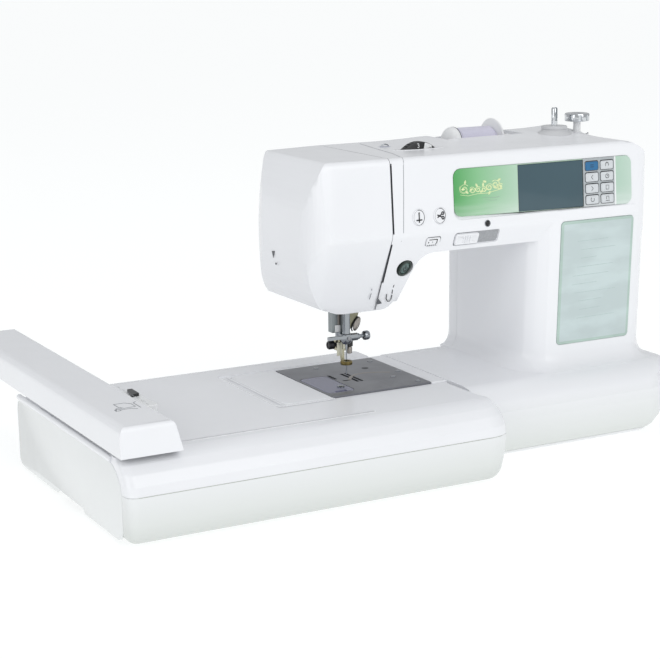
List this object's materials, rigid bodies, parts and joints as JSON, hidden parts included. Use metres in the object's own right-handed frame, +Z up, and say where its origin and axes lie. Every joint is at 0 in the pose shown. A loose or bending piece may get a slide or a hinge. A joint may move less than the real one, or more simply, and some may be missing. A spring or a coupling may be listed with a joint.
{
  "type": "embroidery machine",
  "caption": "Free-arm embroidery machine with a display arm, needle and presser works, hook and bobbin, and a slide-on unit whose carriage moves a hoop holder.",
  "frame": {"origin": "middle of the footprint's bounding box, at table height", "axes": "+X to the right along the arm towards the handwheel, +Y from the operator towards the back, +Z up"},
  "size_m": [0.583, 0.394, 0.298],
  "materials": {
    "white": "glossy moulded ABS",
    "case_grey": "satin moulded ABS",
    "black_moulding": "black moulded plastic",
    "green_panel": "printed acrylic overlay",
    "card": "pale translucent sheet",
    "screen": "unlit display glass",
    "key_blue": "silicone key",
    "key_grey": "silicone key",
    "smoke_clear": "clear smoked plastic",
    "plate_steel": "ground steel",
    "chrome": "bright chrome plate",
    "nickel": "warm nickel plate",
    "cast_alloy": "as-cast alloy",
    "belt_rubber": "moulded belt rubber",
    "thread": "wound polyester thread"
  },
  "bodies": {
    "machine": {"front_housing": "white", "rear_housing": "white", "face_cover": "white", "base_tray": "case_grey", "chassis_frame": "cast_alloy", "free_arm_cover": "white", "needle_plate": "plate_steel", "panel_overlay": "green_panel", "lcd_screen": "screen", "reference_card": "card", "drive_motor": "plate_steel", "timing_belt": "belt_rubber", "winder_stop": "chrome", "spool_pin": "white", "power_inlet": "black_moulding", "bobbin_case": "black_moulding", "threader_bracket": "nickel"},
    "drive_shaft": {"main_shaft": "plate_steel", "handwheel": "white"},
    "lower_drive": {"lower_shaft": "plate_steel"},
    "hook": {"rotary_hook": "plate_steel"},
    "bobbin": {"bobbin": "smoke_clear"},
    "bobbin_cover": {"bobbin_cover": "smoke_clear"},
    "feed": {"feed_dog": "plate_steel"},
    "needle_carrier": {"needle_bar": "chrome", "needle_clamp": "chrome", "needle": "chrome", "connecting_rod": "cast_alloy"},
    "needle_screw": {"needle_clamp_screw": "chrome"},
    "presser": {"presser_bar": "chrome", "embroidery_foot": "nickel"},
    "presser_screw": {"foot_screw": "black_moulding"},
    "lifter": {"presser_lifter": "case_grey"},
    "take_up": {"take_up_lever": "chrome"},
    "tension": {"tension_dial": "black_moulding"},
    "speed": {"speed_slider": "white"},
    "start_stop": {"start_stop_button": "black_moulding"},
    "needle_position": {"needle_position_button": "white"},
    "thread_cutter": {"thread_cutter_button": "white"},
    "reinforcement": {"reinforcement_button": "white"},
    "switch": {"power_switch": "black_moulding"},
    "spool": {"thread_spool": "thread"},
    "spool_end": {"spool_cap": "white"},
    "winder_base": {"winder_seat": "case_grey"},
    "winder": {"winder_shaft": "chrome"},
    "embroidery_unit": {"unit_top_cover": "white", "unit_bottom_case": "case_grey", "x_guide_rod": "plate_steel"},
    "release": {"unit_release_lever": "case_grey"},
    "carriage": {"carriage_arm": "white"},
    "hoop_holder": {"frame_holder": "black_moulding"},
    "hoop_lock": {"frame_lock_lever": "case_grey"},
    "key_1": {"key_1": "key_blue"},
    "key_2": {"key_2": "key_grey"},
    "key_3": {"key_3": "key_grey"},
    "key_4": {"key_4": "key_grey"},
    "key_5": {"key_5": "key_grey"},
    "key_6": {"key_6": "key_grey"},
    "key_7": {"key_7": "key_grey"},
    "key_8": {"key_8": "key_grey"}
  },
  "joints": [
    {"name": "handwheel_turn", "type": "hinge", "parent": "machine", "child": "drive_shaft", "pos_m": [-0.0235, -0.035, 0.222], "axis": [1, 0, 0], "continuous": true},
    {"name": "lower_shaft_turn", "type": "hinge", "parent": "machine", "child": "lower_drive", "pos_m": [-0.0235, -0.0502, 0.04], "axis": [1, 0, 0], "continuous": true},
    {"name": "hook_turn", "type": "hinge", "parent": "machine", "child": "hook", "pos_m": [-0.0435, -0.061, 0.05], "axis": [0, 0, 1], "continuous": true},
    {"name": "bobbin_spin", "type": "hinge", "parent": "machine", "child": "bobbin", "pos_m": [-0.0435, -0.061, 0.055], "axis": [0, 0, 1], "continuous": true},
    {"name": "bobbin_cover_lift", "type": "slide", "parent": "machine", "child": "bobbin_cover", "axis": [0, 0, 1], "range_m": [0, 0.012]},
    {"name": "feed_dog_lift", "type": "slide", "parent": "machine", "child": "feed", "axis": [0, 0, 1], "range_m": [-0.002, 0.002]},
    {"name": "needle_bar_slide", "type": "slide", "parent": "machine", "child": "needle_carrier", "axis": [0, 0, 1], "range_m": [-0.014, 0.014]},
    {"name": "needle_screw_turn", "type": "hinge", "parent": "needle_carrier", "child": "needle_screw", "pos_m": [-0.0085, -0.057, 0.1081], "axis": [1, 0, 0], "range_deg": [-180, 180]},
    {"name": "presser_bar_slide", "type": "slide", "parent": "machine", "child": "presser", "axis": [0, 0, 1], "range_m": [-0.013, 0]},
    {"name": "foot_screw_turn", "type": "hinge", "parent": "presser", "child": "presser_screw", "pos_m": [-0.0315, -0.045, 0.1002], "axis": [1, 0, 0], "range_deg": [-180, 180]},
    {"name": "presser_lifter_swing", "type": "hinge", "parent": "machine", "child": "lifter", "pos_m": [-0.0175, -0.025, 0.149], "axis": [0, 1, 0], "range_deg": [0, 75]},
    {"name": "take_up_swing", "type": "hinge", "parent": "machine", "child": "take_up", "pos_m": [-0.0096, -0.049, 0.226], "axis": [1, 0, 0], "range_deg": [0, 40]},
    {"name": "tension_dial_turn", "type": "hinge", "parent": "machine", "child": "tension", "pos_m": [0.05, -0.059, 0.2555], "axis": [0, 1, 0], "range_deg": [-150, 150]},
    {"name": "speed_slide", "type": "slide", "parent": "machine", "child": "speed", "axis": [1, 0, 0], "range_m": [0, 0.02]},
    {"name": "start_stop_press", "type": "slide", "parent": "machine", "child": "start_stop", "axis": [0, 0.9133, 0.4073], "range_m": [0, 0.0015], "stiffness_N_per_m": 400},
    {"name": "needle_position_press", "type": "slide", "parent": "machine", "child": "needle_position", "axis": [0, 0.9969, -0.0784], "range_m": [0, 0.0012], "stiffness_N_per_m": 400},
    {"name": "thread_cutter_press", "type": "slide", "parent": "machine", "child": "thread_cutter", "axis": [0, 0.9969, -0.0784], "range_m": [0, 0.0012], "stiffness_N_per_m": 400},
    {"name": "reinforcement_press", "type": "slide", "parent": "machine", "child": "reinforcement", "axis": [0, 0.9133, 0.4073], "range_m": [0, 0.0012], "stiffness_N_per_m": 400},
    {"name": "key_1_press", "type": "slide", "parent": "machine", "child": "key_1", "axis": [0, 0.9969, -0.0784], "range_m": [0, 0.0006], "stiffness_N_per_m": 400},
    {"name": "key_2_press", "type": "slide", "parent": "machine", "child": "key_2", "axis": [0, 0.9969, -0.0784], "range_m": [0, 0.0006], "stiffness_N_per_m": 400},
    {"name": "key_3_press", "type": "slide", "parent": "machine", "child": "key_3", "axis": [0, 0.9969, -0.0784], "range_m": [0, 0.0006], "stiffness_N_per_m": 400},
    {"name": "key_4_press", "type": "slide", "parent": "machine", "child": "key_4", "axis": [0, 0.9969, -0.0784], "range_m": [0, 0.0006], "stiffness_N_per_m": 400},
    {"name": "key_5_press", "type": "slide", "parent": "machine", "child": "key_5", "axis": [0, 0.9969, -0.0784], "range_m": [0, 0.0006], "stiffness_N_per_m": 400},
    {"name": "key_6_press", "type": "slide", "parent": "machine", "child": "key_6", "axis": [0, 0.9969, -0.0784], "range_m": [0, 0.0006], "stiffness_N_per_m": 400},
    {"name": "key_7_press", "type": "slide", "parent": "machine", "child": "key_7", "axis": [0, 0.9969, -0.0784], "range_m": [0, 0.0006], "stiffness_N_per_m": 400},
    {"name": "key_8_press", "type": "slide", "parent": "machine", "child": "key_8", "axis": [0, 0.9969, -0.0784], "range_m": [0, 0.0006], "stiffness_N_per_m": 400},
    {"name": "power_switch_rock", "type": "hinge", "parent": "machine", "child": "switch", "pos_m": [0.2675, -0.013, 0.128], "axis": [0, 1, 0], "range_deg": [0, 8]},
    {"name": "spool_spin", "type": "hinge", "parent": "machine", "child": "spool", "pos_m": [0.1465, 0, 0.266], "axis": [1, 0, 0], "continuous": true},
    {"name": "spool_cap_slide", "type": "slide", "parent": "machine", "child": "spool_end", "axis": [-1, 0, 0], "range_m": [0, 0.008]},
    {"name": "winder_shift", "type": "slide", "parent": "machine", "child": "winder_base", "axis": [1, 0, 0], "range_m": [0, 0.005]},
    {"name": "winder_spin", "type": "hinge", "parent": "winder_base", "child": "winder", "pos_m": [0.217, -0.033, 0.28], "axis": [0, 0, 1], "continuous": true},
    {"name": "unit_slide", "type": "slide", "parent": "machine", "child": "embroidery_unit", "axis": [-1, 0, 0], "range_m": [0, 0.15]},
    {"name": "release_lever_press", "type": "hinge", "parent": "embroidery_unit", "child": "release", "pos_m": [-0.2695, -0.069, 0.008], "axis": [0, 1, 0], "range_deg": [0, 12], "stiffness_Nm_per_rad": 0.05},
    {"name": "carriage_x", "type": "slide", "parent": "embroidery_unit", "child": "carriage", "axis": [1, 0, 0], "range_m": [0, 0.17]},
    {"name": "hoop_holder_y", "type": "slide", "parent": "carriage", "child": "hoop_holder", "axis": [0, 1, 0], "range_m": [-0.045, 0.12]},
    {"name": "hoop_lock_swing", "type": "hinge", "parent": "hoop_holder", "child": "hoop_lock", "pos_m": [-0.231, -0.0726, 0.0856], "axis": [-1, 0, 0], "range_deg": [0, 60]}
  ],
  "couplings": [
    {"joint": "lower_shaft_turn", "follows": "handwheel_turn", "ratio": 1},
    {"joint": "hook_turn", "follows": "handwheel_turn", "ratio": 2},
    {"joint": "presser_bar_slide", "follows": "presser_lifter_swing", "m_per_rad": -0.0099}
  ]
}
